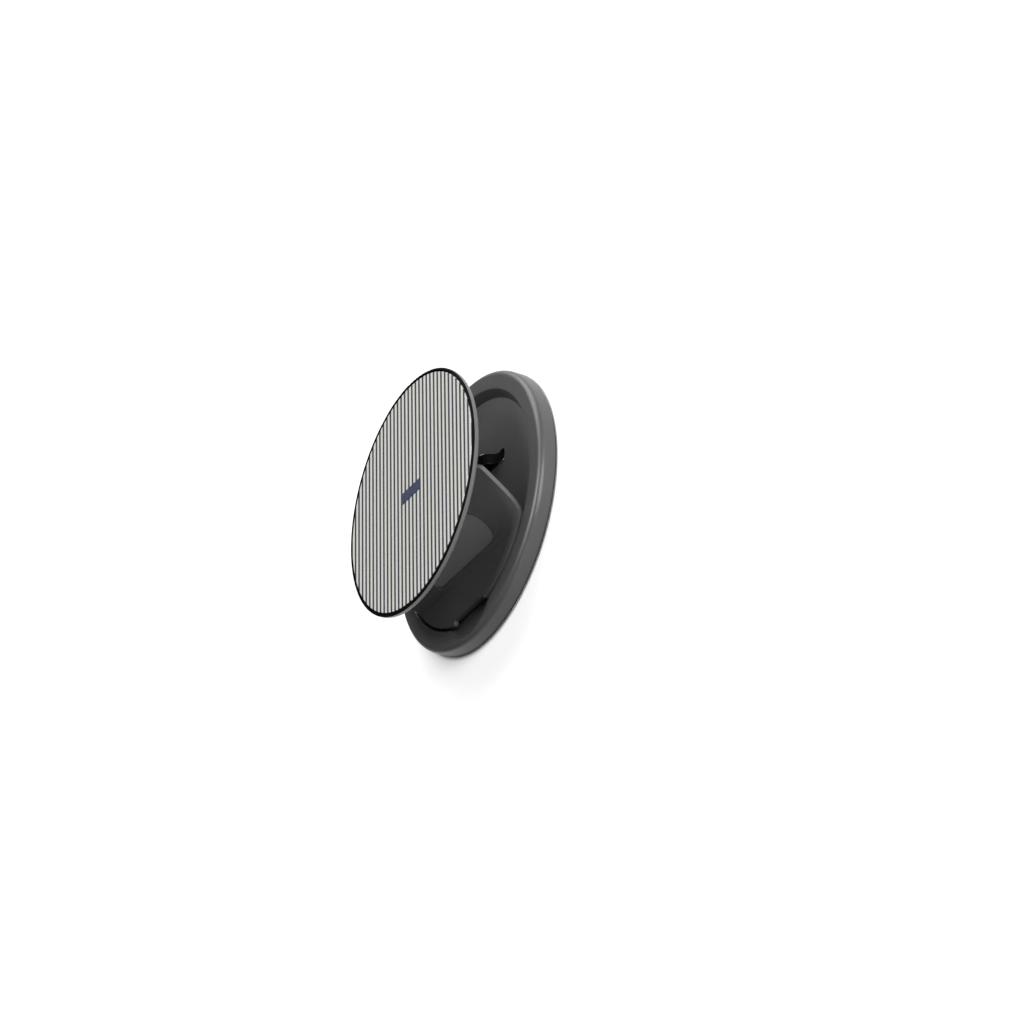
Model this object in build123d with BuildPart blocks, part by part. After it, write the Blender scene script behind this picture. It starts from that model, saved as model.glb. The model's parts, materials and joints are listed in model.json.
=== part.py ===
"""A magnetic phone grip: a round base with a ring of magnets in its back, a hinged arm that
folds into a shallow recess, and a round finger disc that slides on the end of the arm.

Millimetres, +Z out of the phone, +Y up the phone, origin at the middle of the base's back.
The model stands open, as in use: the arm rises from the bottom of the recess towards +Y and
the disc lies parallel to the base.
"""
import math
import os

from build123d import *

os.makedirs("parts", exist_ok=True)

# Base
base_radius = 29.0
base_front = 4.0
base_front_round = 1.2
base_back_round = 0.35
pad_inset = 0.6
pad_thickness = 0.4
base_rim_width = 4.0
recess_depth = 1.65
recess_lean = 1.4
recess_edge_round = 0.3
floor_flange = 0.9
floor_clearance = 0.05

# Finger notch in the lower rim of the base
notch_rim = 0.8
notch_half_width = 8.2
notch_depth = 1.4
notch_foot_round = 1.0

# Ring of magnets and its steel shield, in a groove in the base's back
magnet_inset = 2.2
magnet_width = 3.8
magnet_thickness = 1.05
magnet_count = 16
magnet_gap_angle = 1.2
shield_thickness = 0.45
groove_clearance = 0.1

# Catch spring in a slot in the recess floor
slot_y = 7.25
slot_length = 24.8
slot_width = 2.7
slot_corner = 0.8
slot_depth = 1.0
spring_width = 1.9
spring_thickness = 0.2
spring_foot_length = 2.4
spring_foot_half_span = 10.6
spring_crest_half_span = 4.6
spring_crest_height = 2.1
spring_dip = 0.45
spring_bend = 1.0

# Lower hinge, between the base and the arm
hinge_inset = 13.0
hinge_height = 3.0
knuckle_radius = 0.55
pin_radius = 0.3
pin_clearance = 0.05
knuckle_gap = 0.1
knuckle_web = 0.8
lower_hinge_end_inset = 1.9
lower_knuckles = 7
leaf_thickness = 0.5
leaf_edge_inset = 1.1

# Arm, at the angle that it has in use
arm_angle = 54.0
arm_length = 13.75
arm_thickness = 0.6
arm_edge_inset = 1.5

# Upper hinge, between the arm and the carriage
upper_hinge_width = 18.0
upper_knuckles = 5

# Strap moulded over the tail leaf and the arm
strap_inset = 0.9
strap_thickness = 1.0
strap_skin = 0.4
strap_edge_round = 0.35
strap_back_bevel = 0.45
strap_side_inset = 1.3
crease_round = 0.6
strap_top_inset = 1.3
shoulder_inset = 0.15
shoulder_gap = 1.2
shoulder_corner = 1.5
tail_cut_half_width = 6.0
tail_cut_depth = 2.0

# Panel let into the front of the arm
insert_half_width = 12.2
insert_end_radius = 4.65
insert_middle = 4.3
insert_gap = 0.15
insert_sunk = 0.05
insert_foot_gap = 0.05

# Carriage on the end of the arm
carriage_end_inset = 6.0
carriage_thickness = 0.7
carriage_corner = 2.0
window_clearance = 0.5

# Disc and the rails that slide along the carriage
disc_overhang = 0.4
disc_thickness = 1.5
disc_front_round = 0.3
disc_back_round = 0.7
disc_y = 0.7
disc_rim_width = 0.5
plate_groove = 0.3
plate_thickness = 0.5
plate_edge_round = 0.12
glue_thickness = 0.1
plate_pocket_depth = 0.65
running_gap = 0.15
rail_start = 2.6
rail_length = 11.6
rail_foot = 1.35
rail_foot_thickness = 0.5
rail_wall = 3.2
stop_pin_inset = 2.9
stop_pin_radius = 0.45
stop_head_radius = 1.0
stop_head_thickness = 0.4
stop_pin_hold = 0.6
stop_clearance = 0.1

# Label tab on the middle of the plate
label_length = 7.6
label_width = 2.4
label_thickness = 0.12

# Screws
screw_radius = 0.5
screw_head_radius = 0.95
screw_head_height = 0.35
screw_clearance = 0.03
leaf_screw_length = 1.6
rail_screw_length = 2.1
leaf_screw_margin = 2.0
leaf_screw_angle = 42.0
leaf_screw_half_span = 5.5
leaf_screw_rise = 4.5
rail_screw_margin = 2.2

# Places worked out from the sizes above
pad_radius = base_radius - pad_inset
recess_radius = base_radius - base_rim_width
notch_reach = base_radius - notch_rim
magnet_outer_radius = base_radius - magnet_inset
magnet_inner_radius = magnet_outer_radius - magnet_width
hinge_y = hinge_inset - recess_radius
strap_radius = recess_radius - strap_inset
arm_half_width = strap_radius - strap_side_inset
tail_cut_y = tail_cut_depth - strap_radius
lower_hinge_width = 2 * (math.sqrt(strap_radius**2 - hinge_y**2) - lower_hinge_end_inset)
carriage_half_width = upper_hinge_width / 2
carriage_reach = recess_radius - carriage_end_inset
disc_radius = recess_radius + disc_overhang
recess_floor = base_front - recess_depth
slope = math.radians(arm_angle)
half_turn = math.tan(slope / 2)
upper_hinge_y = hinge_y + arm_length * math.cos(slope)
upper_hinge_height = hinge_height + arm_length * math.sin(slope)
strap_front = base_front - hinge_height
strap_inside = strap_front - strap_skin
strap_back = strap_front - strap_thickness
arm_back = strap_inside - arm_thickness
arm_end = arm_length - knuckle_web
carriage_top = strap_front
carriage_bottom = carriage_top - carriage_thickness
disc_back = upper_hinge_height + carriage_top + running_gap
disc_front = disc_back + disc_thickness
plate_radius = disc_radius - disc_rim_width - plate_groove
plate_back = disc_front - plate_pocket_depth + glue_thickness
rail_bottom = disc_back - running_gap * 2 - carriage_thickness - rail_foot_thickness
rail_inner = carriage_half_width - rail_foot + running_gap
rail_wall_inner = carriage_half_width + running_gap
rail_y = disc_y + rail_start
groove_inner_radius = magnet_inner_radius - groove_clearance
groove_outer_radius = magnet_outer_radius + groove_clearance
groove_roof = pad_thickness + magnet_thickness + shield_thickness
slot_floor = recess_floor - slot_depth
flange_radius = recess_radius + floor_flange
insert_start = strap_front * half_turn + insert_foot_gap
shoulder_end = arm_length - shoulder_inset
leaf_radius = strap_radius - leaf_edge_inset
leaf_screw_turn = math.radians(leaf_screw_angle)
leaf_screw_x = (leaf_radius - leaf_screw_margin) * math.sin(leaf_screw_turn)
leaf_screw_y = -(leaf_radius - leaf_screw_margin) * math.cos(leaf_screw_turn)
leaf_screw_places = [
    (-leaf_screw_x, leaf_screw_y),
    (-leaf_screw_half_span, tail_cut_y + leaf_screw_rise),
    (leaf_screw_half_span, tail_cut_y + leaf_screw_rise),
    (leaf_screw_x, leaf_screw_y),
]
slide_travel = disc_y - upper_hinge_y + hinge_y + arm_length
stop_pin_y = upper_hinge_y + carriage_reach - stop_pin_inset
stop_head_top = disc_back - running_gap * 2 - carriage_thickness

# Planes of the moving arm, and across the hinges
arm_plane = Plane(
    origin=(0, hinge_y, hinge_height),
    x_dir=(1, 0, 0),
    z_dir=(0, -math.sin(slope), math.cos(slope)),
)


def cross_plane(x, y, height, angle):
    """A plane across a hinge, its own x axis along a leaf that rises at this angle."""
    return Plane(
        origin=(x, y, height),
        x_dir=(0, math.cos(angle), math.sin(angle)),
        z_dir=(1, 0, 0),
    )


def knuckle_spans(width, count, first):
    """Start and length of every second knuckle of a hinge, from this one on."""
    pitch = width / count
    return [
        (-width / 2 + pitch * place + knuckle_gap / 2, pitch - knuckle_gap)
        for place in range(first, count, 2)
    ]


def add_knuckles(spans, y, height, angle, side, web_low, web_high):
    """Knuckles with the webs that join them to a leaf on one side of the axis."""
    for start, length in spans:
        with BuildSketch(cross_plane(start, y, height, angle)) as section:
            Circle(knuckle_radius)
            with Locations((side * knuckle_web / 2, (web_low + web_high) / 2)):
                Rectangle(knuckle_web, web_high - web_low)
        extrude(section.sketch, amount=length)


def bore_hinge(width, y, height):
    """The pin's bore through all knuckles of a hinge."""
    with BuildSketch(cross_plane(-width / 2, y, height, 0)) as bore:
        Circle(pin_radius + pin_clearance)
    extrude(bore.sketch, amount=width, mode=Mode.SUBTRACT)


def save(name, shape):
    """Label one piece and write its file."""
    shape.part.label = name
    export_step(shape.part, f"parts/{name}.step")


# Soft pad on the back
with BuildPart() as back_pad:
    with BuildSketch():
        Circle(pad_radius)
    extrude(amount=pad_thickness)
save("back_pad", back_pad)

# Ring of the base, with the finger notch and a rebate that holds the floor plate
with BuildPart() as base_ring:
    with BuildSketch(Plane.XY.offset(pad_thickness)):
        Circle(base_radius)
    extrude(amount=base_front - pad_thickness)
    fillet(base_ring.edges().group_by(Axis.Z)[-1], radius=base_front_round)
    fillet(base_ring.edges().group_by(Axis.Z)[0], radius=base_back_round)
    with Locations((0, 0, base_front)):
        Cone(
            recess_radius - recess_lean,
            recess_radius,
            recess_depth,
            align=(Align.CENTER, Align.CENTER, Align.MAX),
            mode=Mode.SUBTRACT,
        )
    recess_lip = base_ring.edges().filter_by(GeomType.CIRCLE).filter_by(
        lambda edge: abs(edge.radius - recess_radius) < 0.01
        and abs(edge.center().Z - base_front) < 0.01
    )
    fillet(recess_lip, radius=recess_edge_round)
    with BuildSketch(Plane.XY.offset(recess_floor)):
        Circle(flange_radius + floor_clearance)
    extrude(amount=groove_roof - recess_floor, mode=Mode.SUBTRACT)
    with BuildSketch(Plane.XY.offset(groove_roof)):
        Circle(groove_outer_radius)
    extrude(amount=pad_thickness - groove_roof, mode=Mode.SUBTRACT)
    # The notch is an arc that meets the recess at its half width and reaches into the rim
    lip_y = math.sqrt(recess_radius**2 - notch_half_width**2)
    notch_radius = ((notch_reach - lip_y) ** 2 + notch_half_width**2) / (2 * (notch_reach - lip_y))
    with BuildSketch(Plane.XY.offset(base_front)):
        with Locations((0, notch_radius - notch_reach)):
            Circle(notch_radius)
    extrude(amount=-notch_depth, mode=Mode.SUBTRACT)
    notch_foot = base_ring.edges().filter_by(GeomType.CIRCLE).filter_by(
        lambda edge: abs(edge.radius - notch_radius) < 0.01
        and abs(edge.center().Z - base_front + notch_depth) < 0.01
    )
    fillet(notch_foot, radius=notch_foot_round)
save("base_ring", base_ring)

# Floor plate of the recess, put in from the back, its core inside the magnets
with BuildPart() as base_floor:
    with BuildSketch(Plane.XY.offset(pad_thickness)):
        Circle(groove_inner_radius)
    extrude(amount=recess_floor - pad_thickness)
    with BuildSketch(Plane.XY.offset(recess_floor)):
        Circle(flange_radius)
    extrude(amount=groove_roof - recess_floor)
    with BuildSketch(Plane.XY.offset(recess_floor)):
        with Locations((0, slot_y)):
            RectangleRounded(slot_length, slot_width, slot_corner)
    extrude(amount=-slot_depth, mode=Mode.SUBTRACT)
    with BuildSketch(Plane.XY.offset(recess_floor)):
        with Locations(*leaf_screw_places):
            Circle(screw_radius + screw_clearance)
    extrude(amount=-leaf_screw_length, mode=Mode.SUBTRACT)
save("base_floor", base_floor)

# Magnets, a ring of arcs
magnet_pitch = 360 / magnet_count
for number in range(magnet_count):
    turn = math.radians(number * magnet_pitch + magnet_gap_angle / 2)
    radial = Plane(
        origin=(0, 0, pad_thickness),
        x_dir=(math.cos(turn), math.sin(turn), 0),
        z_dir=(math.sin(turn), -math.cos(turn), 0),
    )
    with BuildPart() as magnet:
        with BuildSketch(radial):
            with Locations(((magnet_inner_radius + magnet_outer_radius) / 2, magnet_thickness / 2)):
                Rectangle(magnet_outer_radius - magnet_inner_radius, magnet_thickness)
        revolve(axis=Axis.Z, revolution_arc=magnet_pitch - magnet_gap_angle)
    save(f"magnet_{number + 1:02d}", magnet)

# Steel ring that closes the magnets' field on the grip's side
with BuildPart() as shield_ring:
    with BuildSketch(Plane.XY.offset(pad_thickness + magnet_thickness)):
        Circle(magnet_outer_radius)
        Circle(magnet_inner_radius, mode=Mode.SUBTRACT)
    extrude(amount=shield_thickness)
save("shield_ring", shield_ring)

# Catch spring, a wavy leaf that stands in the floor slot
spring_low = slot_floor + spring_thickness / 2
spring_high = slot_floor + spring_crest_height
spring_bend_start = spring_foot_half_span - spring_foot_length
with BuildPart() as catch_spring:
    with BuildSketch(Plane.XZ.offset(-slot_y - spring_width / 2)):
        with BuildLine():
            FilletPolyline(
                (-spring_foot_half_span, spring_low),
                (-spring_bend_start, spring_low),
                (-spring_crest_half_span, spring_high),
                (0, spring_high - spring_dip),
                (spring_crest_half_span, spring_high),
                (spring_bend_start, spring_low),
                (spring_foot_half_span, spring_low),
                radius=spring_bend,
            )
        trace(line_width=spring_thickness)
    extrude(amount=spring_width)
save("catch_spring", catch_spring)

# Tail leaf, screwed to the recess floor
leaf_back = recess_floor - hinge_height
with BuildPart() as hinge_leaf:
    with BuildSketch(Plane.XY.offset(recess_floor)):
        Circle(leaf_radius)
        with Locations((0, hinge_y - knuckle_web - recess_radius)):
            Rectangle(2 * recess_radius, 2 * recess_radius, mode=Mode.INTERSECT)
        with Locations((0, tail_cut_y - recess_radius)):
            Rectangle(2 * recess_radius, 2 * recess_radius, mode=Mode.SUBTRACT)
    extrude(amount=leaf_thickness)
    add_knuckles(
        knuckle_spans(lower_hinge_width, lower_knuckles, 0),
        hinge_y,
        hinge_height,
        0,
        -1,
        -knuckle_radius,
        leaf_back + leaf_thickness,
    )
    bore_hinge(lower_hinge_width, hinge_y, hinge_height)
    with Locations(*[(x, y, recess_floor + leaf_thickness) for x, y in leaf_screw_places]):
        Cylinder(
            screw_radius + screw_clearance,
            leaf_thickness,
            align=(Align.CENTER, Align.CENTER, Align.MAX),
            mode=Mode.SUBTRACT,
        )
        Cone(
            screw_radius + screw_clearance,
            screw_head_radius + screw_clearance,
            screw_head_height,
            align=(Align.CENTER, Align.CENTER, Align.MAX),
            mode=Mode.SUBTRACT,
        )
save("hinge_leaf", hinge_leaf)

# Four screws that hold the tail leaf
with BuildPart() as leaf_screws:
    with Locations(*[(x, y, recess_floor + leaf_thickness) for x, y in leaf_screw_places]):
        Cylinder(screw_radius, leaf_screw_length, align=(Align.CENTER, Align.CENTER, Align.MAX))
        Cone(
            screw_radius,
            screw_head_radius,
            screw_head_height,
            align=(Align.CENTER, Align.CENTER, Align.MAX),
        )
save("leaf_screws", leaf_screws)

# Lower hinge pin
with BuildPart() as lower_pin:
    with BuildSketch(cross_plane(-lower_hinge_width / 2, hinge_y, hinge_height, 0)):
        Circle(pin_radius)
    extrude(amount=lower_hinge_width)
save("lower_pin", lower_pin)

# Arm plate, with knuckles at both ends
with BuildPart() as arm_plate:
    with BuildSketch(arm_plane.offset(arm_back)):
        with Locations((0, -hinge_y)):
            Circle(strap_radius - arm_edge_inset)
        with Locations((0, (knuckle_web + arm_end) / 2)):
            Rectangle(2 * (arm_half_width - arm_edge_inset), arm_end - knuckle_web, mode=Mode.INTERSECT)
    extrude(amount=arm_thickness)
    add_knuckles(
        knuckle_spans(lower_hinge_width, lower_knuckles, 1),
        hinge_y,
        hinge_height,
        slope,
        1,
        arm_back,
        knuckle_radius,
    )
    add_knuckles(
        knuckle_spans(upper_hinge_width, upper_knuckles, 0),
        upper_hinge_y,
        upper_hinge_height,
        slope,
        -1,
        arm_back,
        knuckle_radius,
    )
    bore_hinge(lower_hinge_width, hinge_y, hinge_height)
    bore_hinge(upper_hinge_width, upper_hinge_y, upper_hinge_height)
save("arm_plate", arm_plate)

# Tail half of the strap, flat in the recess
tail_back = leaf_back + leaf_thickness
with BuildPart() as strap_tail:
    with BuildSketch(cross_plane(-recess_radius, hinge_y, hinge_height, 0)):
        with BuildLine():
            Polyline(
                (-recess_radius, tail_back),
                (-recess_radius, strap_front),
                (-strap_front * half_turn, strap_front),
                (-strap_inside * half_turn, strap_inside),
                (-knuckle_web, strap_inside),
                (-knuckle_web, tail_back),
                close=True,
            )
        make_face()
    extrude(amount=2 * recess_radius)
    with BuildSketch(Plane.XY):
        Circle(strap_radius)
        with Locations((0, tail_cut_y - strap_radius / 2)):
            Rectangle(2 * tail_cut_half_width, strap_radius, mode=Mode.SUBTRACT)
    extrude(amount=2 * base_front, mode=Mode.INTERSECT)
    tail_back_rim = strap_tail.edges().filter_by(GeomType.CIRCLE).group_by(Axis.Z)[0]
    chamfer(tail_back_rim, length=strap_back_bevel)
    tail_rim = strap_tail.edges().filter_by(GeomType.CIRCLE).group_by(Axis.Z)[-1]
    fillet(tail_rim, radius=strap_edge_round)

# Arm half of the strap, with a border that hides the plate's edge
with BuildPart() as strap_arm:
    with BuildSketch(cross_plane(-recess_radius, hinge_y, hinge_height, slope)):
        with BuildLine():
            Polyline(
                (shoulder_end, strap_back),
                (shoulder_end, strap_front),
                (strap_front * half_turn, strap_front),
                (strap_inside * half_turn, strap_inside),
                (knuckle_web, strap_inside),
                (knuckle_web, strap_back),
                close=True,
            )
        make_face()
    extrude(amount=2 * recess_radius)
    with BuildSketch(arm_plane.offset(-recess_radius)):
        with Locations((0, -hinge_y)):
            Circle(strap_radius)
        with Locations((0, shoulder_end - recess_radius)):
            RectangleRounded(
                2 * arm_half_width, 2 * recess_radius, shoulder_corner, mode=Mode.INTERSECT
            )
        with Locations((0, arm_length - strap_top_inset + recess_radius)):
            Rectangle(
                2 * (upper_hinge_width / 2 + shoulder_gap), 2 * recess_radius, mode=Mode.SUBTRACT
            )
    extrude(amount=2 * recess_radius, mode=Mode.INTERSECT)
    side_edges = strap_arm.edges().filter_by(
        lambda edge: abs(edge.center().X) > arm_half_width - strap_radius / 4
    )
    back_edges = side_edges.filter_by(
        lambda edge: abs(arm_plane.to_local_coords(edge.center()).Z - strap_back) < 0.01
    )
    chamfer(back_edges, length=strap_back_bevel)
    front_edges = side_edges.filter_by(
        lambda edge: abs(arm_plane.to_local_coords(edge.center()).Z - strap_front) < 0.01
    )
    fillet(front_edges, radius=strap_edge_round)
    with BuildSketch(arm_plane.offset(strap_back)):
        with Locations((0, -hinge_y)):
            Circle(strap_radius - arm_edge_inset)
        with Locations((0, 0)):
            Rectangle(2 * (arm_half_width - arm_edge_inset), 2 * arm_length, mode=Mode.INTERSECT)
    extrude(amount=strap_inside - strap_back, mode=Mode.SUBTRACT)

# The strap is one moulding, with a window for the panel on the arm
crease_half_width = math.sqrt(strap_radius**2 - (hinge_y - crease_round) ** 2) - strap_edge_round
crease_corner = -strap_front * half_turn
crease_reach = crease_round * half_turn
crease_tail_end = (crease_corner - crease_reach, strap_front)
crease_arm_end = (
    crease_corner + crease_reach * math.cos(slope),
    strap_front + crease_reach * math.sin(slope),
)
with BuildPart() as strap:
    add(strap_tail.part)
    add(strap_arm.part)
    with BuildSketch(cross_plane(-crease_half_width, hinge_y, hinge_height, 0)):
        with BuildLine():
            Polyline(crease_tail_end, (crease_corner, strap_front), crease_arm_end)
            RadiusArc(crease_arm_end, crease_tail_end, crease_round)
        make_face()
    extrude(amount=2 * crease_half_width)
    with BuildSketch(arm_plane.offset(strap_inside)):
        with Locations((0, insert_middle)):
            SlotOverall(2 * (insert_half_width + insert_gap), 2 * (insert_end_radius + insert_gap))
        with Locations((0, insert_start - insert_foot_gap - insert_end_radius)):
            Rectangle(4 * insert_half_width, 2 * insert_end_radius, mode=Mode.SUBTRACT)
    extrude(amount=strap_skin + crease_round, mode=Mode.SUBTRACT)
save("strap", strap)

# Panel in the front of the arm
with BuildPart() as arm_insert:
    with BuildSketch(arm_plane.offset(strap_inside)):
        with Locations((0, insert_middle)):
            SlotOverall(2 * insert_half_width, 2 * insert_end_radius)
        with Locations((0, insert_start - insert_end_radius)):
            Rectangle(4 * insert_half_width, 2 * insert_end_radius, mode=Mode.SUBTRACT)
    extrude(amount=strap_skin - insert_sunk)
save("arm_insert", arm_insert)

# Upper hinge pin
with BuildPart() as upper_pin:
    with BuildSketch(cross_plane(-upper_hinge_width / 2, upper_hinge_y, upper_hinge_height, 0)):
        Circle(pin_radius)
    extrude(amount=upper_hinge_width)
save("upper_pin", upper_pin)

# Carriage, with a window for the catch spring's crest
spring_in_carriage = slot_y - (hinge_y + arm_length)
with BuildPart() as carriage:
    with BuildSketch(Plane.XY.offset(upper_hinge_height + carriage_bottom)):
        with Locations((0, upper_hinge_y + (knuckle_web + carriage_reach) / 2)):
            RectangleRounded(
                2 * carriage_half_width, carriage_reach - knuckle_web, carriage_corner
            )
        with Locations((0, upper_hinge_y + spring_in_carriage)):
            SlotOverall(
                2 * (spring_bend_start - spring_thickness),
                spring_width + 2 * window_clearance,
                mode=Mode.SUBTRACT,
            )
        with Locations((0, stop_pin_y - slide_travel / 2)):
            SlotOverall(
                slide_travel + 2 * (stop_pin_radius + stop_clearance),
                2 * (stop_pin_radius + stop_clearance),
                rotation=90,
                mode=Mode.SUBTRACT,
            )
    extrude(amount=carriage_thickness)
    add_knuckles(
        knuckle_spans(upper_hinge_width, upper_knuckles, 1),
        upper_hinge_y,
        upper_hinge_height,
        0,
        1,
        0,
        knuckle_radius,
    )
    bore_hinge(upper_hinge_width, upper_hinge_y, upper_hinge_height)
save("carriage", carriage)

# Disc tray
rail_screw_places = [
    (side * (rail_wall_inner + rail_wall / 2), rail_y + along)
    for side in (-1, 1)
    for along in (rail_screw_margin, rail_length / 2, rail_length - rail_screw_margin)
]
with BuildPart() as disc_tray:
    with BuildSketch(Plane.XY.offset(disc_back)):
        with Locations((0, disc_y)):
            Circle(disc_radius)
    extrude(amount=disc_thickness)
    fillet(disc_tray.edges().group_by(Axis.Z)[-1], radius=disc_front_round)
    fillet(disc_tray.edges().group_by(Axis.Z)[0], radius=disc_back_round)
    with BuildSketch(Plane.XY.offset(disc_front)):
        with Locations((0, disc_y)):
            Circle(plate_radius + plate_groove)
    extrude(amount=-plate_pocket_depth, mode=Mode.SUBTRACT)
    with BuildSketch(Plane.XY.offset(disc_back)):
        with Locations(*rail_screw_places):
            Circle(screw_radius + screw_clearance)
    extrude(amount=rail_bottom + rail_screw_length - disc_back, mode=Mode.SUBTRACT)
    with BuildSketch(Plane.XY.offset(disc_back)):
        with Locations((0, stop_pin_y)):
            Circle(stop_pin_radius)
    extrude(amount=stop_pin_hold, mode=Mode.SUBTRACT)
save("disc_tray", disc_tray)

# Pin under the disc that runs in the carriage's slot and ends the slide
with BuildPart() as stop_pin:
    with BuildSketch(Plane.XY.offset(stop_head_top)):
        with Locations((0, stop_pin_y)):
            Circle(stop_pin_radius)
    extrude(amount=disc_back + stop_pin_hold - stop_head_top)
    with BuildSketch(Plane.XY.offset(stop_head_top - stop_head_thickness)):
        with Locations((0, stop_pin_y)):
            Circle(stop_head_radius)
    extrude(amount=stop_head_thickness)
save("stop_pin", stop_pin)

# Rails under the disc, one each side of the carriage
for side, name in ((-1, "rail_left"), (1, "rail_right")):
    with BuildPart() as rail:
        with BuildSketch(Plane.XZ.offset(-rail_y)):
            with BuildLine():
                Polyline(
                    (side * rail_inner, rail_bottom),
                    (side * rail_inner, rail_bottom + rail_foot_thickness),
                    (side * rail_wall_inner, rail_bottom + rail_foot_thickness),
                    (side * rail_wall_inner, disc_back),
                    (side * (rail_wall_inner + rail_wall), disc_back),
                    (side * (rail_wall_inner + rail_wall), rail_bottom),
                    close=True,
                )
            make_face()
        extrude(amount=-rail_length)
        own_places = [place for place in rail_screw_places if place[0] * side > 0]
        with Locations(*[(x, y, rail_bottom) for x, y in own_places]):
            Cylinder(
                screw_radius + screw_clearance,
                disc_back - rail_bottom,
                align=(Align.CENTER, Align.CENTER, Align.MIN),
                mode=Mode.SUBTRACT,
            )
            Cone(
                screw_head_radius + screw_clearance,
                screw_radius + screw_clearance,
                screw_head_height,
                align=(Align.CENTER, Align.CENTER, Align.MIN),
                mode=Mode.SUBTRACT,
            )
    save(name, rail)

# Six screws that hold the rails
with BuildPart() as rail_screws:
    with Locations(*[(x, y, rail_bottom) for x, y in rail_screw_places]):
        Cylinder(screw_radius, rail_screw_length, align=(Align.CENTER, Align.CENTER, Align.MIN))
        Cone(
            screw_head_radius,
            screw_radius,
            screw_head_height,
            align=(Align.CENTER, Align.CENTER, Align.MIN),
        )
save("rail_screws", rail_screws)

# Glue sheet under the striped plate
with BuildPart() as glue_sheet:
    with BuildSketch(Plane.XY.offset(disc_front - plate_pocket_depth)):
        with Locations((0, disc_y)):
            Circle(plate_radius)
    extrude(amount=glue_thickness)
save("glue_sheet", glue_sheet)

# Striped plate
with BuildPart() as striped_plate:
    with BuildSketch(Plane.XY.offset(plate_back)):
        with Locations((0, disc_y)):
            Circle(plate_radius)
    extrude(amount=plate_thickness)
    fillet(striped_plate.edges().group_by(Axis.Z)[-1], radius=plate_edge_round)
save("striped_plate", striped_plate)

# Label tab, left bare
with BuildPart() as label_tab:
    with BuildSketch(Plane.XY.offset(plate_back + plate_thickness)):
        with Locations((0, disc_y)):
            Rectangle(label_length, label_width)
    extrude(amount=label_thickness)
save("label_tab", label_tab)
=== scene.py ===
"""Looks of a magnetic phone grip: satin base, soft strap arm, striped finger disc.

Metres. +Z runs from the base out to the disc, +Y from the strap's tail to the catch,
and the origin is the middle of the base's back.
"""
import json
import math

import bmesh
import bpy
from mathutils import Matrix, Vector


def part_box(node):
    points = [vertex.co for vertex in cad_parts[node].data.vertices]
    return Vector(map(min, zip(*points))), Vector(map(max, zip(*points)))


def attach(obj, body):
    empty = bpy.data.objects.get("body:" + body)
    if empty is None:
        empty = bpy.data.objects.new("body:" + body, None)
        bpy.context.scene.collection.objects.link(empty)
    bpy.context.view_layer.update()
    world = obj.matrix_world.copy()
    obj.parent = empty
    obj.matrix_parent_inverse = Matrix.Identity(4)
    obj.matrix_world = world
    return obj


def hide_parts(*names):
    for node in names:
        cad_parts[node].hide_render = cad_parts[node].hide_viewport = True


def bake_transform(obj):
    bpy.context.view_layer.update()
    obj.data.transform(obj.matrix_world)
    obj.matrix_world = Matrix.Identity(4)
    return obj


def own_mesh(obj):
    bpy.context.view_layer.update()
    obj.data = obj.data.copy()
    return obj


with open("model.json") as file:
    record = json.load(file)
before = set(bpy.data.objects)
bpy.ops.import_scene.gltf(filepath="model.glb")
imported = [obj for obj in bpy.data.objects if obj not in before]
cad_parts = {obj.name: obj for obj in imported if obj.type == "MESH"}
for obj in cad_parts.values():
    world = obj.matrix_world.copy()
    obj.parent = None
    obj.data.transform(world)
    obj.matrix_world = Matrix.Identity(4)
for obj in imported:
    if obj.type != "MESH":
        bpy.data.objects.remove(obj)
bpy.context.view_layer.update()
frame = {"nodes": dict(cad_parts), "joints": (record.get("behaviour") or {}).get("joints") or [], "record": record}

MM = 0.001

# The photograph's camera: its place, and two directions, in the grip's own frame
CAMERA_PLACE = Vector((0.66677, -0.46106, 0.38261))
CAMERA_RIGHT = Vector((0.4942, -0.0183, -0.8691))
CAMERA_UP = Vector((0.4554, 0.8571, 0.2409))
CAMERA_LENS = 158.46
SENSOR_WIDTH = 36.0
CLIP_START = 0.01
CLIP_END = 50.0

# Lower hinge and length of the arm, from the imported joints
JOINTS = {joint["name"]: joint for joint in frame["joints"]}
HINGE = Vector(JOINTS["arm_fold"]["pos_m"])
SLOPE = -math.radians(JOINTS["arm_fold"]["range_deg"][0])
ARM_LENGTH = (Vector(JOINTS["disc_level"]["pos_m"]) - HINGE).length

# Strap; back, inside and front are heights above the lower hinge, before it is folded
STRAP_RADIUS = 24.1 * MM
STRAP_HALF_WIDTH = 22.8 * MM
STRAP_SIDE_BLEND = 0.4 * MM
STRAP_BACK = 0.02 * MM
STRAP_INSIDE = 0.6 * MM
STRAP_FRONT = 1.0 * MM
STRAP_BORDER = 1.5 * MM
STRAP_EDGE = 0.38 * MM
POCKET_START = 1.0 * MM
SIDE_START = 0.45 * MM
SIDE_END = 1.7 * MM
SIDE_STEP = math.radians(1.5)

# Top of the strap: shoulders beside the upper hinge and the notch between them
SHOULDER_INSET = 0.15 * MM
SHOULDER_HALF_SPAN = 10.2 * MM
SHOULDER_CORNER = 1.5 * MM
SHOULDER_INNER_CORNER = 0.6 * MM
NOTCH_INSET = 1.3 * MM
NOTCH_CORNER = 0.3 * MM

# Cut in the strap's tail
TAIL_CUT_HALF_WIDTH = 5.8 * MM
TAIL_CUT_Y = -22.3 * MM
TAIL_CUT_CORNER = 0.4 * MM
TAIL_FOOT_CORNER = 0.6 * MM

# Round fold of the strap, and how far it reaches from the hinge on either side
FOLD_RADIUS = 4.2 * MM
FOLD_RUN = FOLD_RADIUS * math.tan(SLOPE / 2)
FOLD_ROWS = 18

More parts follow.
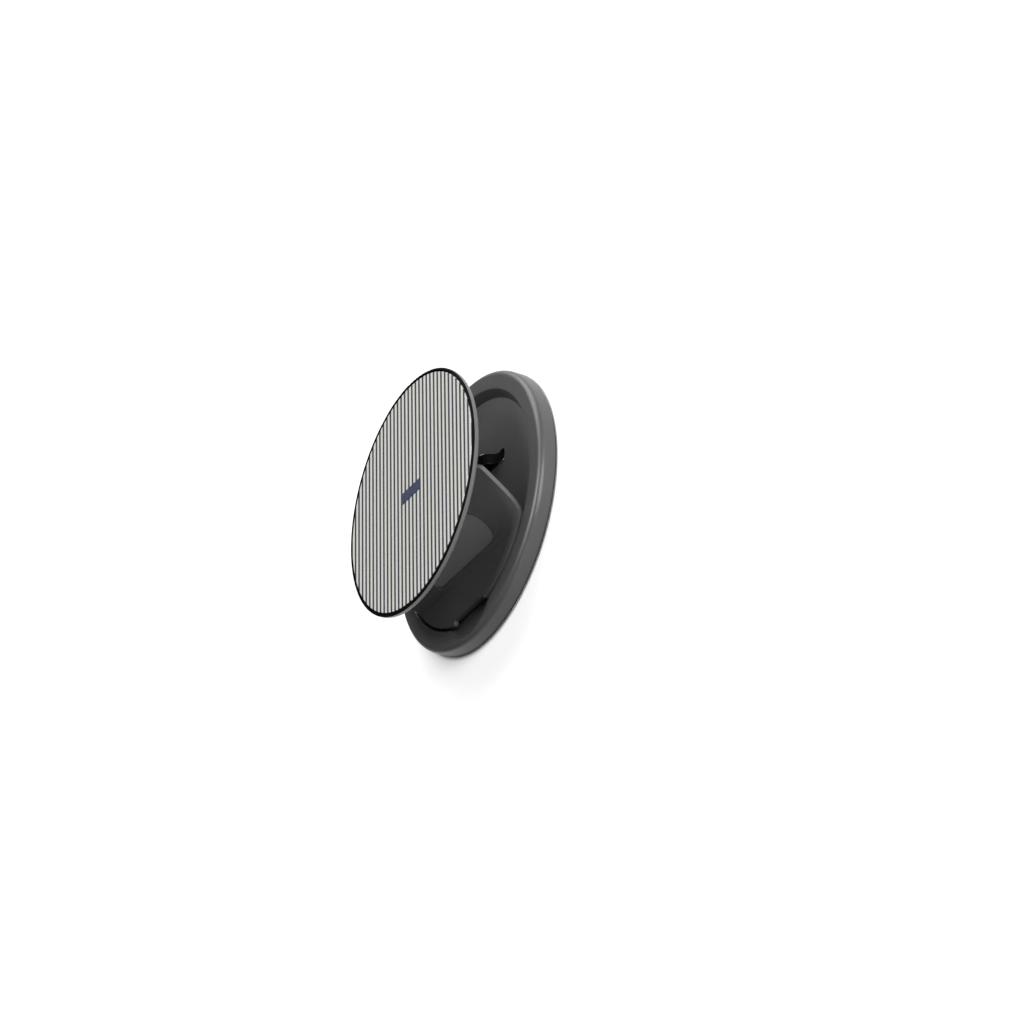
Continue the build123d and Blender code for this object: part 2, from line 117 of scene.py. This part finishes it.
# Window for the panel, from the lower hinge up the arm
WINDOW_HALF_WIDTH = 12.43 * MM
WINDOW_END = 4.88 * MM
WINDOW_MIDDLE = 4.3 * MM
WINDOW_START = 0.52 * MM
WINDOW_STEPS = 32

# Catch leaf in the slot of the floor: right half of its line, as x and height over its foot in mm
SPRING_LOW, SPRING_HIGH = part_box("catch_spring")
LEAF_Y = (SPRING_LOW.y + SPRING_HIGH.y) / 2
LEAF_LINE = (
    (0.0, 3.2),
    (2.0, 3.25),
    (4.2, 3.6),
    (6.2, 3.95),
    (7.8, 3.8),
    (8.7, 2.9),
    (9.2, 1.6),
    (10.2, 1.0),
    (11.2, 0.6),
    (12.0, 0.12),
)
LEAF_WIDTH = 2.5 * MM
LEAF_EDGE = 0.22 * MM
LEAF_EDGE_STEPS = 4
LEAF_LEVELS = 3

# Polished edges on the leaf, lighter only near its crest as a painted highlight of the glints there: where they
# start and where they are full, in from its sides and over its foot
LEAF_GLINT_EDGE_START = 0.2 * MM
LEAF_GLINT_EDGE_FULL = 0.05 * MM
LEAF_GLINT_HEIGHT_START = 3.0 * MM
LEAF_GLINT_HEIGHT_FULL = 3.7 * MM

# Steel lip along the slot's front edge
LIP_HALF_LENGTH = 12.2 * MM
LIP_WIDTH = 0.3 * MM
LIP_Y = 5.75 * MM
LIP_LOW = 2.2 * MM
LIP_HIGH = 2.52 * MM
LIP_CORNER = 0.1 * MM
LIP_EDGE = 0.08 * MM

# Disc shell: width of its rim painted near-black as shade for the gap round the plate, depth of that painted shade
# outside and in the pocket, and the share of the width and of the outer depth over which it doesn't fade
DISC_LOW, DISC_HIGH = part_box("disc_tray")
DISC_MIDDLE_Y = (DISC_LOW.y + DISC_HIGH.y) / 2
DISC_RADIUS = (DISC_HIGH.x - DISC_LOW.x) / 2
DISC_RIM = 0.5 * MM
DISC_SHADE_DEPTH = 0.36 * MM
POCKET_SHADE_DEPTH = 0.8 * MM
POCKET_SHADE_FADE = 0.1 * MM
SHADE_FADE_SHARE = 0.8

# Stripes and weave of the plate, and weave of the label
STRIPE_PERIOD = 1.5 * MM
STRIPE_LIGHT_SHARE = 0.54
STRIPE_FADE = 0.06
PLATE_THREAD = 0.17 * MM
LABEL_WARP = 0.22 * MM
LABEL_WEFT = 0.7 * LABEL_WARP

# Steps, tolerance, spare length of a cutter, and angles that edges are told apart by
CORNER_STEPS = 8
RIM_STEPS = 5
SAME_HEIGHT = 0.001 * MM
CUTTER_SPARE = 2 * MM
ROUNDED_ANGLE = math.radians(60)
SHADED_SHARP_ANGLE = math.radians(35)

# Floor
FLOOR_RADIUS = 6.0
FLOOR_STEPS = 96
FLOOR_GAP = 0.02 * MM

# Light
LIGHT_AIM = (0, 0, 0.005)
WORLD_STRENGTH = 0.06


class Number:
    """A number in a shader tree, so that a pattern reads as a formula."""

    def __init__(self, finish, socket):
        self.finish = finish
        self.socket = socket

    def maths(self, operation, *others):
        return self.finish.node("ShaderNodeMath", {"operation": operation}, [self, *others])

    def __add__(self, other):
        return self.maths("ADD", other)

    def __sub__(self, other):
        return self.maths("SUBTRACT", other)

    def __rsub__(self, other):
        return self * -1 + other

    def __mul__(self, other):
        return self.maths("MULTIPLY", other)

    __radd__ = __add__
    __rmul__ = __mul__

    def wave(self, period):
        """A sine of this number, from -1 to 1."""
        return (self * (2 * math.pi / period)).maths("SINE")


class Finish:
    """A material with one main shader, and the nodes that vary it."""

    def __init__(self, name, color, roughness, metallic=0.0):
        self.material = bpy.data.materials.new(name)
        self.material.use_nodes = True
        self.tree = self.material.node_tree
        self.shader = self.tree.nodes["Principled BSDF"]
        self.set(self.shader, "Base Color", (*color, 1.0))
        self.set(self.shader, "Roughness", roughness)
        self.set(self.shader, "Metallic", metallic)

    def set(self, node, key, value):
        if isinstance(value, Number):
            self.tree.links.new(value.socket, node.inputs[key])
        else:
            node.inputs[key].default_value = value

    def node(self, kind, settings=None, inputs=None, output=0):
        made = self.tree.nodes.new(kind)
        for key, value in (settings or {}).items():
            setattr(made, key, value)
        pairs = enumerate(inputs) if isinstance(inputs, list) else (inputs or {}).items()
        for key, value in pairs:
            self.set(made, key, value)
        return Number(self, made.outputs[output])

    def place(self):
        return self.node("ShaderNodeTexCoord", output="Object")

    def axis(self, name):
        """One coordinate of a point on the piece, in metres."""
        return self.node("ShaderNodeSeparateXYZ", None, [self.place()], name)

    def noise(self, size, detail, stretch=(1.0, 1.0, 1.0)):
        """Noise with grains of this size, in metres, from 0 to 1."""
        spread = self.node("ShaderNodeMapping", None, {"Vector": self.place(), "Scale": stretch})
        return self.node(
            "ShaderNodeTexNoise", None, {"Vector": spread, "Scale": 1 / size, "Detail": detail}
        )

    def weave(self, width, height):
        """Crossing threads of this width and height, from 0 to 1."""
        return (self.axis("X").wave(width) * self.axis("Y").wave(height)) * 0.5 + 0.5

    def ramp(self, value, low, high):
        """0 below low, 1 above high, smooth between."""
        return self.node(
            "ShaderNodeMapRange",
            {"interpolation_type": "SMOOTHSTEP"},
            {"Value": value, "From Min": low, "From Max": high},
        )

    def mix(self, share, first, second):
        """A colour between two."""
        inputs = {0: share, 6: first, 7: second}
        return self.node("ShaderNodeMix", {"data_type": "RGBA"}, inputs, 2)

    def paint(self, share, first, second):
        """Base colour between two, by a share from 0 to 1."""
        self.set(self.shader, "Base Color", self.mix(share, first, second))

    def roughen(self, share, first, second):
        """Roughness between two, by a share from 0 to 1."""
        self.set(self.shader, "Roughness", first + (second - first) * share)

    def bump(self, height, depth):
        """Raise the surface by a height from 0 to 1, this deep in metres."""
        normal = self.node("ShaderNodeBump", None, {"Height": height, "Distance": depth})
        self.set(self.shader, "Normal", normal)

    def cover(self, share, color, roughness):
        """A second, dull finish where the share is 1; here a near-black painted shade."""
        painted_shade = self.node(
            "ShaderNodeBsdfPrincipled",
            None,
            {"Base Color": (*color, 1.0), "Roughness": roughness, "Specular IOR Level": 0.03},
        )
        shell = Number(self, self.shader.outputs["BSDF"])
        both = self.node("ShaderNodeMixShader", None, [share, shell, painted_shade])
        self.set(self.tree.nodes["Material Output"], "Surface", both)


def moulded(name, color, roughness, mottle=0.12):
    """Moulded plastic with a fine spark texture and slightly uneven gloss."""
    finish = Finish(name, color, roughness)
    cloud = finish.noise(6 * MM, detail=3.0)
    dark = tuple(part * (1 - mottle) for part in color)
    finish.paint(cloud, (*dark, 1.0), (*color, 1.0))
    finish.roughen(cloud, roughness - 0.05, roughness + 0.05)
    finish.bump(finish.noise(0.18 * MM, detail=4.0), depth=0.006 * MM)
    return finish.material


def steel(name, color, roughness):
    """Rolled or ground metal with fine lines along x."""
    finish = Finish(name, color, roughness, metallic=1.0)
    lines = finish.noise(2.5 * MM, detail=4.0, stretch=(1.0, 60.0, 60.0))
    finish.roughen(lines, roughness - 0.06, roughness + 0.08)
    finish.bump(lines, depth=0.002 * MM)
    return finish.material


def rubber(name, color, roughness):
    """Smooth elastomer with a very fine orange peel."""
    finish = Finish(name, color, roughness)
    finish.roughen(finish.noise(4 * MM, detail=2.0), roughness - 0.04, roughness + 0.04)
    finish.bump(finish.noise(0.5 * MM, detail=2.0), depth=0.004 * MM)
    return finish.material


def disc_shell(name):
    """Blasted grey shell, with painted shade: near-black on the rim and pocket wall round the plate, for the
    shadowed gap there.
    """
    dark, light, painted_shade = (0.08, 0.081, 0.082), (0.09, 0.091, 0.092), (0.002, 0.002, 0.0025)
    finish = Finish(name, light, 0.34)
    x, y, z = (finish.axis(letter) for letter in "XYZ")
    top = DISC_HIGH.z
    aside = (x * x + (y - DISC_MIDDLE_Y) * (y - DISC_MIDDLE_Y)).maths("SQRT")
    rim_start = DISC_RADIUS - DISC_RIM
    # Masks for painted shade: the pocket wall inside the rim, and the shell's front near its top
    pocket = 1 - finish.ramp(aside, rim_start, DISC_RADIUS - SHADE_FADE_SHARE * DISC_RIM)
    inside = pocket * finish.ramp(z, top - POCKET_SHADE_DEPTH, top - POCKET_SHADE_DEPTH + POCKET_SHADE_FADE)
    front = finish.ramp(z, top - DISC_SHADE_DEPTH, top - SHADE_FADE_SHARE * DISC_SHADE_DEPTH)
    finish.paint(finish.noise(6 * MM, detail=3.0), (*dark, 1.0), (*light, 1.0))
    finish.bump(finish.noise(0.14 * MM, detail=4.0), depth=0.005 * MM)
    # Painted shade: near-black where either mask is 1, standing in for the shadowed gap round the plate
    finish.cover(front.maths("MAXIMUM", inside), painted_shade, roughness=0.6)
    return finish.material


def leaf_steel(name):
    """Spring steel with a black coat on its faces, and polished uncoated edges only along its crests, a painted
    highlight for the glints there.
    """
    coat, polish_glint_color = (0.02, 0.02, 0.022), (0.45, 0.45, 0.46)
    coat_roughness, polish_roughness = 0.3, 0.18
    finish = Finish(name, coat, coat_roughness, metallic=1.0)
    aside = (finish.axis("Y") - LEAF_Y).maths("ABSOLUTE")
    half, foot = LEAF_WIDTH / 2, SPRING_LOW.z
    edge = finish.ramp(aside, half - LEAF_GLINT_EDGE_START, half - LEAF_GLINT_EDGE_FULL)
    crest = finish.ramp(finish.axis("Z"), foot + LEAF_GLINT_HEIGHT_START, foot + LEAF_GLINT_HEIGHT_FULL)
    # Painted highlight: lighter polished metal on the edges near the crest only, where the glints fall
    polish_and_glint = edge * crest
    finish.paint(polish_and_glint, (*coat, 1.0), (*polish_glint_color, 1.0))
    finish.roughen(polish_and_glint, coat_roughness, polish_roughness)
    finish.bump(finish.noise(0.4 * MM, detail=3.0), depth=0.002 * MM)
    return finish.material


def striped(name):
    """Printed stripes along the plate, light ivory on charcoal, under a fine weave."""
    ivory, worn_ivory = (0.5, 0.495, 0.46), (0.46, 0.457, 0.43)
    charcoal = (0.022, 0.024, 0.034)
    finish = Finish(name, ivory, 0.5)
    phase = (finish.axis("X") * (1 / STRIPE_PERIOD) + 0.5).maths("FRACT")
    aside = (phase - 0.5).maths("ABSOLUTE") * 2
    light = 1 - finish.ramp(
        aside, STRIPE_LIGHT_SHARE - STRIPE_FADE, STRIPE_LIGHT_SHARE + STRIPE_FADE
    )
    cloud = finish.noise(3 * MM, detail=3.0)
    warm = finish.mix(cloud, (*ivory, 1.0), (*worn_ivory, 1.0))
    finish.paint(light, (*charcoal, 1.0), warm)
    finish.bump(finish.weave(PLATE_THREAD, PLATE_THREAD), depth=0.008 * MM)
    return finish.material


def woven(name, color):
    """Close woven tape with a raised rib."""
    finish = Finish(name, color, 0.75)
    weave = finish.weave(LABEL_WARP, LABEL_WEFT)
    bright = tuple(part * 1.7 for part in color)
    finish.paint(weave, (*color, 1.0), (*bright, 1.0))
    finish.bump(weave, depth=0.03 * MM)
    return finish.material


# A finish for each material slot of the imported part: name, colour and roughness
FINISHES = {
    "housing": moulded("satin_housing", (0.056, 0.056, 0.057), 0.4),
    "floor": moulded("floor_plate", (0.1, 0.1, 0.102), 0.36),
    "back_pad": rubber("soft_pad", (0.018, 0.018, 0.019), 0.6),
    "magnet": steel("nickel_plate", (0.72, 0.71, 0.7), 0.18),
    "shield": steel("shield_steel", (0.55, 0.55, 0.56), 0.32),
    "hinge_steel": steel("blackened_steel", (0.09, 0.09, 0.095), 0.34),
    "pin_steel": steel("ground_steel", (0.6, 0.6, 0.61), 0.22),
    "screw_steel": steel("black_zinc", (0.12, 0.12, 0.125), 0.3),
    "spring": leaf_steel("leaf_steel"),
    "strap": rubber("strap_rubber", (0.085, 0.085, 0.087), 0.38),
    "insert": moulded("insert_paint", (0.18, 0.18, 0.182), 0.5, mottle=0.04),
    "tray": disc_shell("disc_shell"),
    "rail": moulded("rail_moulding", (0.03, 0.03, 0.03), 0.45),
    "glue": rubber("glue_film", (0.25, 0.25, 0.25), 0.7),
    "plate": striped("striped_face"),
    "label": woven("navy_tape", (0.012, 0.018, 0.045)),
}


def paint_nodes():
    """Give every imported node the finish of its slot."""
    for part in frame["record"]["subparts"]:
        mesh = frame["nodes"][part["node"]].data
        mesh.materials.clear()
        mesh.materials.append(FINISHES[part["material_slot"]])


def make_object(name, shape, material):
    """An object at the origin from a finished bmesh."""
    mesh = bpy.data.meshes.new(name)
    shape.to_mesh(mesh)
    shape.free()
    mesh.materials.append(material)
    made = bpy.data.objects.new(name, mesh)
    bpy.context.scene.collection.objects.link(made)
    return made


def smooth(piece):
    """Smooth shading that keeps sharp edges."""
    mesh = piece.data
    mesh.polygons.foreach_set("use_smooth", [True] * len(mesh.polygons))
    mesh.set_sharp_from_angle(angle=SHADED_SHARP_ANGLE)


def settle(piece):
    """Turn a piece's modifiers into a plain mesh."""
    bpy.context.view_layer.update()
    seen = piece.evaluated_get(bpy.context.evaluated_depsgraph_get())
    plain = bpy.data.meshes.new_from_object(seen)
    piece.modifiers.clear()
    old, piece.data = piece.data, plain
    bpy.data.meshes.remove(old)


def cut_from(piece, cutter):
    """Take a cutter out of a piece, and leave a plain mesh."""
    tool = make_object("cutter", cutter, FINISHES["strap"])
    modifier = piece.modifiers.new("cut", "BOOLEAN")
    modifier.operation = "DIFFERENCE"
    modifier.solver = "EXACT"
    modifier.object = tool
    settle(piece)
    bpy.data.objects.remove(tool)


def new_verts(drawn):
    """The vertices that an extrusion has made."""
    return [part for part in drawn["geom"] if isinstance(part, bmesh.types.BMVert)]


def round_edges(shape, edges, size, steps):
    """Round some of a shape's edges."""
    bmesh.ops.bevel(
        shape,
        geom=edges,
        offset=size,
        segments=steps,
        profile=0.5,
        affect="EDGES",
        clamp_overlap=True,
        material=-1,
    )


def round_rims(shape, height, size):
    """Round the edges that lie at this height."""
    rim = [
        edge
        for edge in shape.edges
        if all(abs(vert.co.z - height) < SAME_HEIGHT for vert in edge.verts)
        and edge.calc_face_angle(0) > ROUNDED_ANGLE
    ]
    round_edges(shape, rim, size, RIM_STEPS)


def rounded(corners):
    """Points of a closed outline; a corner is x, y and the radius it is rounded by."""
    points = []
    for number, (x, y, radius) in enumerate(corners):
        place = Vector((x, y))
        if not radius:
            points.append(place)
            continue
        before = (Vector(corners[number - 1][:2]) - place).normalized()
        after = (Vector(corners[(number + 1) % len(corners)][:2]) - place).normalized()
        half = before.angle(after) / 2
        middle = place + (before + after).normalized() * (radius / math.sin(half))
        start = (place + before * (radius / math.tan(half)) - middle).normalized()
        end = (place + after * (radius / math.tan(half)) - middle).normalized()
        for step in range(CORNER_STEPS + 1):
            points.append(middle + start.slerp(end, step / CORNER_STEPS) * radius)
    return points


def mirrored(right):
    """A closed outline from its right half, which runs up."""
    return right + [(-x, y, radius) for x, y, radius in reversed(right)]


def slab(points, low, high):
    """A flat solid from its outline and two heights."""
    shape = bmesh.new()
    face = shape.faces.new([shape.verts.new((x, y, low)) for x, y in points])
    drawn = bmesh.ops.extrude_face_region(shape, geom=[face])
    bmesh.ops.translate(shape, verts=new_verts(drawn), vec=(0, 0, high - low))
    bmesh.ops.recalc_face_normals(shape, faces=shape.faces)
    return shape


def strap_side(inset, low, high):
    """Right side of the strap's flat outline, from the tail up: a circle with a straight side."""
    radius, limit = STRAP_RADIUS - inset, STRAP_HALF_WIDTH - inset
    start, end = math.asin(low / radius), math.asin(high / radius)
    steps = round((end - start) / SIDE_STEP)
    points = []
    for step in range(steps + 1):
        turn = start + (end - start) * step / steps
        x = radius * math.cos(turn)
        x -= STRAP_SIDE_BLEND * math.log1p(math.exp((x - limit) / STRAP_SIDE_BLEND))
        points.append((x, radius * math.sin(turn), 0))
    return points


def strap_outline():
    """The strap laid flat, with the cut in its tail and shoulders beside the upper hinge."""
    top = HINGE.y + ARM_LENGTH - SHOULDER_INSET
    notch = HINGE.y + ARM_LENGTH - NOTCH_INSET
    foot = -math.sqrt(STRAP_RADIUS**2 - TAIL_CUT_HALF_WIDTH**2)
    side = strap_side(0, foot + SIDE_START, top - SIDE_END)
    right = [
        (TAIL_CUT_HALF_WIDTH, TAIL_CUT_Y, TAIL_CUT_CORNER),
        (TAIL_CUT_HALF_WIDTH, foot, TAIL_FOOT_CORNER),
        *side,
        (side[-1][0], top, SHOULDER_CORNER),
        (SHOULDER_HALF_SPAN, top, SHOULDER_INNER_CORNER),
        (SHOULDER_HALF_SPAN, notch, NOTCH_CORNER),
    ]
    return rounded(mirrored(right))


def pocket_outline():
    """The pocket for the arm plate in the strap's back."""
    top = HINGE.y + ARM_LENGTH
    return rounded(mirrored(strap_side(STRAP_BORDER, HINGE.y - POCKET_START, top)))


def window_outline():
    """The window for the panel, with round ends and a straight foot."""
    reach = WINDOW_HALF_WIDTH - WINDOW_END
    foot = math.acos((WINDOW_MIDDLE - WINDOW_START) / WINDOW_END)
    points = []
    for step in range(WINDOW_STEPS + 1):
        turn = foot - math.pi / 2 + (math.pi - foot) * step / WINDOW_STEPS
        x = reach + WINDOW_END * math.cos(turn)
        points.append((x, WINDOW_MIDDLE + WINDOW_END * math.sin(turn)))
    return points + [(-x, y) for x, y in reversed(points)]


def on_arm(x, along, out):
    """A place in the grip's frame from one on the arm: across, along and out of it."""
    return Vector(
        (
            x,
            HINGE.y + along * math.cos(SLOPE) - out * math.sin(SLOPE),
            HINGE.z + along * math.sin(SLOPE) + out * math.cos(SLOPE),
        )
    )


def fold(point):
    """Where a point of the flat strap goes when the arm stands up."""
    along = point.y - HINGE.y
    out = point.z - HINGE.z
    if along <= -FOLD_RUN:
        return point
    if along >= FOLD_RUN:
        return on_arm(point.x, along, out)
    turn = SLOPE * (along + FOLD_RUN) / (2 * FOLD_RUN)
    reach = FOLD_RADIUS - out
    return Vector(
        (
            point.x,
            HINGE.y - FOLD_RUN + reach * math.sin(turn),
            HINGE.z + FOLD_RADIUS - reach * math.cos(turn),
        )
    )


def make_strap():
    """The soft strap: moulded flat, folded up at the hinge, with a window for the panel."""
    low, high = HINGE.z + STRAP_BACK, HINGE.z + STRAP_FRONT
    flat = slab(strap_outline(), low, high)
    round_rims(flat, high, STRAP_EDGE)
    round_rims(flat, low, STRAP_EDGE)
    strap = make_object("strap_moulding", flat, FINISHES["strap"])
    cut_from(strap, slab(pocket_outline(), low - CUTTER_SPARE, HINGE.z + STRAP_INSIDE))
    shape = bmesh.new()
    shape.from_mesh(strap.data)
    for row in range(FOLD_ROWS + 1):
        bmesh.ops.bisect_plane(
            shape,
            geom=shape.verts[:] + shape.edges[:] + shape.faces[:],
            plane_co=(0, HINGE.y - FOLD_RUN + 2 * FOLD_RUN * row / FOLD_ROWS, 0),
            plane_no=(0, 1, 0),
        )
    bmesh.ops.triangulate(shape, faces=shape.faces[:])
    for vert in shape.verts:
        vert.co = fold(vert.co)
    shape.to_mesh(strap.data)
    shape.free()
    window = slab(window_outline(), STRAP_INSIDE - CUTTER_SPARE, STRAP_FRONT + CUTTER_SPARE)
    for vert in window.verts:
        vert.co = on_arm(*vert.co)
    bmesh.ops.recalc_face_normals(window, faces=window.faces)
    cut_from(strap, window)
    smooth(strap)
    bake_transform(strap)
    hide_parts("strap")


def make_catch_leaf():
    """The wavy catch that stands in the floor slot, a leaf with its sides turned down."""
    right = [(x * MM, SPRING_LOW.z + z * MM) for x, z in LEAF_LINE]
    line = [(-x, z) for x, z in reversed(right[1:])] + right
    shape = bmesh.new()
    verts = [shape.verts.new((x, LEAF_Y - LEAF_WIDTH / 2, z)) for x, z in line]
    edges = [shape.edges.new(pair) for pair in zip(verts, verts[1:])]
    drawn = bmesh.ops.extrude_edge_only(shape, edges=edges)
    bmesh.ops.translate(shape, verts=new_verts(drawn), vec=(0, LEAF_WIDTH, 0))
    leaf = make_object("catch_leaf", shape, FINISHES["spring"])
    bend = leaf.modifiers.new("bend", "SUBSURF")
    bend.levels = bend.render_levels = LEAF_LEVELS
    bend.boundary_smooth = "PRESERVE_CORNERS"
    settle(leaf)
    shape = bmesh.new()
    shape.from_mesh(leaf.data)
    foot = new_verts(bmesh.ops.extrude_face_region(shape, geom=shape.faces[:]))
    bmesh.ops.scale(shape, verts=foot, vec=(1, 1, 0))
    bmesh.ops.translate(shape, verts=foot, vec=(0, 0, SPRING_LOW.z))
    bmesh.ops.recalc_face_normals(shape, faces=shape.faces)
    near = LEAF_EDGE / 100
    crest = [
        edge
        for edge in shape.edges
        if edge.calc_face_angle(0) > ROUNDED_ANGLE
        and abs(edge.verts[0].co.x - edge.verts[1].co.x) > near
        and min(vert.co.z for vert in edge.verts) > SPRING_LOW.z + near
    ]
    round_edges(shape, crest, LEAF_EDGE, LEAF_EDGE_STEPS)
    bmesh.ops.dissolve_degenerate(shape, dist=near / 10, edges=shape.edges[:])
    shape.to_mesh(leaf.data)
    shape.free()
    smooth(leaf)
    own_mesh(leaf)
    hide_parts("catch_spring")
    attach(leaf, "base")


def make_slot_lip():
    """The bright steel lip along the slot's front edge."""
    right = [
        (LIP_HALF_LENGTH, LIP_Y - LIP_WIDTH / 2, LIP_CORNER),
        (LIP_HALF_LENGTH, LIP_Y + LIP_WIDTH / 2, LIP_CORNER),
    ]
    shape = slab(rounded(mirrored(right)), LIP_LOW, LIP_HIGH)
    round_rims(shape, LIP_HIGH, LIP_EDGE)
    lip = make_object("slot_lip", shape, FINISHES["pin_steel"])
    smooth(lip)
    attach(lip, "base")


def make_floor():
    """A plain pale floor just under the grip."""
    shape = bmesh.new()
    bmesh.ops.create_circle(shape, cap_ends=True, segments=FLOOR_STEPS, radius=FLOOR_RADIUS)
    bmesh.ops.translate(shape, verts=shape.verts, vec=(0, 0, -FLOOR_GAP))
    pale = Finish("pale_floor", (0.9, 0.9, 0.9), 0.9)
    floor = make_object("floor", shape, pale.material)


def hang(name, light, place, aim):
    """Put a light at a place, turned towards its aim."""
    lamp = bpy.data.objects.new(name, light)
    lamp.location = place
    lamp.rotation_euler = (Vector(aim) - Vector(place)).to_track_quat("-Z", "Y").to_euler()
    bpy.context.scene.collection.objects.link(lamp)


def make_soft_box(name, place, size, power):
    """A square light that points at the grip."""
    light = bpy.data.lights.new(name, "AREA")
    light.shape = "RECTANGLE"
    light.size = light.size_y = size
    light.energy = power
    hang(name, light, place, LIGHT_AIM)


def make_daylight(name, place, strength, spread):
    """Even light from one direction, soft by this angle, that also reaches the far floor."""
    light = bpy.data.lights.new(name, "SUN")
    light.energy = strength
    light.angle = spread
    hang(name, light, place, (0, 0, 0))


def make_lights():
    """Soft boxes from the right and from above, even light from the front, and a weak fill."""
    world = bpy.data.worlds.new("studio")
    bpy.context.scene.world = world
    world.use_nodes = True
    background = world.node_tree.nodes["Background"]
    background.inputs["Color"].default_value = (1.0, 1.0, 1.0, 1.0)
    background.inputs["Strength"].default_value = WORLD_STRENGTH
    make_soft_box("key", place=(0.8, 0.02, 0.15), size=0.4, power=6.3)
    make_soft_box("top", place=(-0.05, 0.6, 0.4), size=0.6, power=4.6)
    make_daylight("front", place=(0.15, 0.1, 0.8), strength=2.5, spread=math.radians(27))
    make_soft_box("fill", place=(0.45, -0.65, 0.14), size=0.3, power=0.85)


def make_camera():
    """The photograph's viewpoint."""
    lens = bpy.data.cameras.new("camera")
    lens.lens = CAMERA_LENS
    lens.sensor_width = SENSOR_WIDTH
    lens.sensor_fit = "HORIZONTAL"
    lens.clip_start = CLIP_START
    lens.clip_end = CLIP_END
    camera = bpy.data.objects.new("camera", lens)
    back = CAMERA_RIGHT.cross(CAMERA_UP)
    turned = Matrix((CAMERA_RIGHT, CAMERA_UP, back)).transposed().to_4x4()
    camera.matrix_world = Matrix.Translation(CAMERA_PLACE) @ turned
    bpy.context.scene.collection.objects.link(camera)
    bpy.context.scene.camera = camera


def main():
    bpy.context.scene.view_settings.view_transform = "Standard"
    paint_nodes()
    make_strap()
    make_catch_leaf()
    make_slot_lip()
    make_floor()
    make_lights()
    make_camera()


main()
